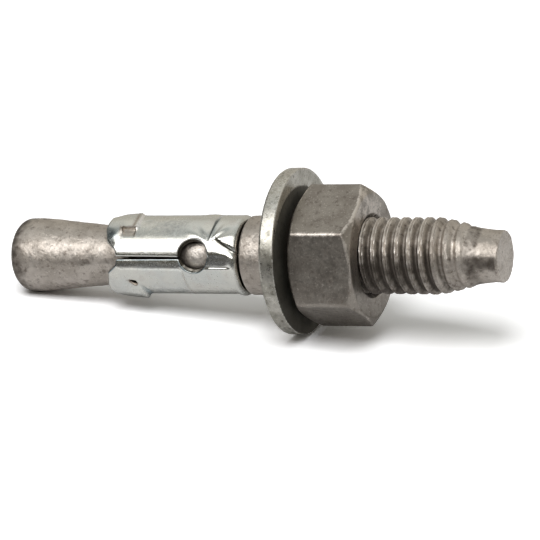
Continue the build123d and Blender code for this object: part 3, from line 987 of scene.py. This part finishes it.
def galvanised(name, light, mid, dark, worn_and_lit, smooth, rough, relief_mm, seed):
    """Grey galvanised steel: mottled and speckled, darkened where soiled and in painted shade, and
    bright where rubbed and in painted highlights.
    """
    s = Shades(bpy.data.materials.new(name))
    broad = s.noise(1.9, 2.0, 0.5, seed)
    blotch = s.noise(0.62, 2.0, 0.55, seed + 1)
    grain = s.noise(0.21, 2.0, 0.6, seed + 2)
    speck = s.noise(0.16, 1.0, 0.5, seed + 3)
    colour = s.tint(s.span(broad, 0.36, 0.64), mid, light)
    colour = s.tint(s.span(blotch, 0.56, 0.72, 0.0, 0.6), colour, dark)
    colour = s.tint(s.span(grain, 0.6, 0.72, 0.0, 0.55), colour, dark)
    colour = s.tint(s.span(speck, 0.62, 0.72, 0.0, 0.5), colour, worn_and_lit)
    # darkened where the piece is soiled and where it has painted shade; brightened where it is rubbed
    # and where it has painted highlights
    grimy_and_shaded = s.span(s.ragged("grime_and_shade", blotch, 0.6), 0.25, 0.95)
    colour = s.tint(s.times(grimy_and_shaded, 0.85), colour, tuple(0.42 * c for c in dark))
    bare_and_lit = s.span(s.ragged("wear_and_highlight", grain, 0.8), 0.45, 0.85)
    colour = s.tint(s.times(bare_and_lit, 0.9), colour, worn_and_lit)
    roughness = s.span(blotch, 0.35, 0.65, smooth, rough)
    roughness = s.mix(s.span(grain, 0.45, 0.7), roughness, rough)
    roughness = s.mix(bare_and_lit, roughness, 0.4)
    roughness = s.mix(grimy_and_shaded, roughness, 0.62)
    normal = s.bump(grain, relief_mm * 0.35, s.bump(blotch, relief_mm))
    return s.finish(Metallic=1.0, Base_Color=colour, Roughness=roughness, Normal=normal)


def bright_zinc():
    """Bright zinc-plated sheet: nearly a mirror, faintly streaked, with tinted films and its marks'
    painted light and shade.
    """
    s = Shades(bpy.data.materials.new("bright_zinc_sheet"))
    broad = s.noise(2.4, 2.0, 0.5, 31)
    film = s.noise(1.1, 2.0, 0.5, 32)
    drawn = {1: (1 / 3.0, 1 / 0.35, 1 / 0.35), 0: s.place}
    streak = s.noise(1.0, 3.0, 0.6, 33, s.add("VectorMath", drawn, operation="MULTIPLY"))
    fine = s.noise(0.24, 2.0, 0.6, 34)
    colour = s.tint(s.span(broad, 0.35, 0.65), (0.87, 0.86, 0.80), (0.81, 0.82, 0.785))
    colour = s.tint(s.span(film, 0.52, 0.7, 0.0, 0.5), colour, (0.74, 0.70, 0.66))
    colour = s.tint(s.span(fine, 0.6, 0.75, 0.0, 0.35), colour, (0.55, 0.56, 0.54))
    # the marks give stains, films and darkened edges, with painted shade among them, and painted
    # highlights
    stain_and_shade = s.times(s.mark("stain_and_shade"), s.span(film, 0.3, 0.6, 0.5, 1.0))
    colour = s.tint(stain_and_shade, colour, (0.35, 0.41, 0.43))
    brown_film_and_shadow = s.times(s.mark("film"), s.span(fine, 0.3, 0.7, 1.0, 0.7))
    colour = s.tint(brown_film_and_shadow, colour, (0.33, 0.25, 0.19))
    cut_and_shade = s.span(s.mark("cut_and_shade"), 0.0, 0.8)
    colour = s.tint(cut_and_shade, colour, (0.07, 0.065, 0.05))
    worn_and_lit = s.span(s.mark("wear_and_highlight"), 0.3, 0.8)
    colour = s.tint(worn_and_lit, colour, (0.95, 0.92, 0.90))
    roughness = s.span(streak, 0.35, 0.7, 0.15, 0.27)
    roughness = s.mix(s.span(fine, 0.5, 0.75), roughness, 0.3)
    roughness = s.mix(s.math("MAXIMUM", cut_and_shade, s.mark("film")), roughness, 0.38)
    roughness = s.mix(worn_and_lit, roughness, 0.5)
    dents = s.noise(0.3, 3.0, 0.7, 35)
    beaten = s.times(s.mark("beaten"), s.span(broad, 0.3, 0.6, 0.35, 1.0))
    mottle = s.times(beaten, s.span(dents, 0.35, 0.65, 0.0, 0.75))
    colour = s.tint(mottle, colour, (0.50, 0.51, 0.50))
    roughness = s.mix(beaten, roughness, 0.34)
    normal = s.bump(streak, 0.004)
    normal = s.bump(s.times(dents, beaten), 0.03, normal)
    normal = s.bump(fine, 0.0016, normal)
    return s.finish(Metallic=1.0, Base_Color=colour, Roughness=roughness, Normal=normal)


make_stud(galvanised(
    "galvanised_stud", light=(0.64, 0.585, 0.53), mid=(0.50, 0.45, 0.40), dark=(0.22, 0.185, 0.155),
    worn_and_lit=(0.84, 0.785, 0.73), smooth=0.37, rough=0.54, relief_mm=0.075, seed=1,
))
make_nut(galvanised(
    "galvanised_nut", light=(0.40, 0.365, 0.325), mid=(0.33, 0.295, 0.26), dark=(0.18, 0.155, 0.135),
    worn_and_lit=(0.80, 0.74, 0.68), smooth=0.34, rough=0.46, relief_mm=0.014, seed=11,
))
make_washer(galvanised(
    "galvanised_washer", light=(0.70, 0.675, 0.61), mid=(0.50, 0.48, 0.42), dark=(0.17, 0.16, 0.13),
    worn_and_lit=(0.92, 0.90, 0.86), smooth=0.22, rough=0.4, relief_mm=0.02, seed=21,
))
make_sleeve(bright_zinc())

# ---- floor, lights and world ----

FLOOR_HALF = 1.5
FLOOR_ALBEDO = 0.9
SEEN_FLOOR_ALBEDO = 1.2
FLOOR_TINT = (0.985, 0.99, 1.01)
# how much of the floor's brightness metal sees, by metres behind the anchor's middle
FLOOR_SHARES = (
    (-0.05, 0.08), (-0.0265, 0.09), (-0.0192, 0.95), (-0.0178, 0.85), (-0.0158, 0.58), (0.1, 0.53),
)


def make_floor():
    """A pale floor, which metal sees as grey, and dark towards the camera."""
    mesh = bpy.data.meshes.new("floor")
    h = FLOOR_HALF
    mesh.from_pydata([(-h, -h, 0), (h, -h, 0), (h, h, 0), (-h, h, 0)], [], [(0, 1, 2, 3)])
    material = bpy.data.materials.new("floor")
    mesh.materials.append(material)
    s = Shades(material)
    y = s.add("SeparateXYZ", {0: s.place}, "Y")
    path = s.nodes.new("ShaderNodeLightPath").outputs
    share = s.mix(path["Is Glossy Ray"], 1.0, s.table(y, FLOOR_SHARES))
    albedo = s.span(path["Is Camera Ray"], 0, 1, FLOOR_ALBEDO, SEEN_FLOOR_ALBEDO, kind="LINEAR")
    inputs = {0: FLOOR_TINT, "Scale": s.times(share, albedo)}
    colour = s.add("VectorMath", inputs, operation="SCALE")
    s.finish(Roughness=1.0, Specular_IOR_Level=0.0, Base_Color=colour)
    floor = add_object("floor", mesh, Matrix())


def softbox(name, centre, width, height, radiance, lights_floor):
    """A lamp that faces the anchor and lights the floor, with its shadow, or the metal."""
    centre = Vector(centre)
    data = bpy.data.lights.new(name, "AREA")
    data.shape = "RECTANGLE"
    data.size = width
    data.size_y = height
    data.energy = radiance * math.pi * width * height
    facing = Vector((0, centre.y, centre.z)).to_track_quat("Z", "Y").to_matrix().to_4x4()
    lamp = add_object(name, data, Matrix.Translation(centre) @ facing)
    lamp.visible_diffuse = lights_floor
    lamp.visible_glossy = not lights_floor


# the room's brightness, by degrees over the top from the horizon in front to that behind
ROOM = (
    (-10, (0.085, 0.080, 0.064)), (18, (0.085, 0.080, 0.064)), (30, (0.17, 0.16, 0.14)),
    (62, (0.80, 0.78, 0.73)), (74, (0.42, 0.43, 0.42)), (86, (0.38, 0.40, 0.39)),
    (104, (0.66, 0.66, 0.63)), (124, (0.64, 0.63, 0.59)), (150, (0.48, 0.46, 0.41)),
    (180, (0.46, 0.435, 0.39)),
)
# the share of that brightness by how far to the left or right a direction points
ROOM_SIDES = ((-1.0, 0.3), (-0.8, 0.3), (-0.55, 1.0), (0.55, 1.0), (0.8, 0.95), (1.0, 0.8))


def make_world():
    """The room that metal reflects, where the camera itself sees plain white."""
    world = bpy.data.worlds.new("studio")
    bpy.context.scene.world = world
    s = Shades(world, "Generated")
    way = s.feed(s.nodes.new("ShaderNodeSeparateXYZ"), {0: s.place})
    over = s.math("ARCTAN2", way["Z"], s.times(way["Y"], -1.0))
    room = s.table(over, ROOM, math.radians(1))
    sides = s.table(way["X"], ROOM_SIDES)
    room = s.mix(1.0, room, sides, data_type="RGBA", blend_type="MULTIPLY")
    seen = s.add("LightPath", output="Is Camera Ray")
    s.feed(s.nodes["Background"], {"Color": s.tint(seen, room, (1, 1, 1))})


make_floor()
softbox("key", (-0.15, -0.547, 0.451), 1.15, 0.4, 2.25, lights_floor=False)
softbox("key_edge", (-0.15, -0.36, 0.622), 1.15, 0.125, 0.95, lights_floor=False)
softbox("fill", (0.04, -0.52, 0.81), 0.5, 0.55, 9.3, lights_floor=True)
make_world()

bpy.context.scene.view_settings.view_transform = "Standard"
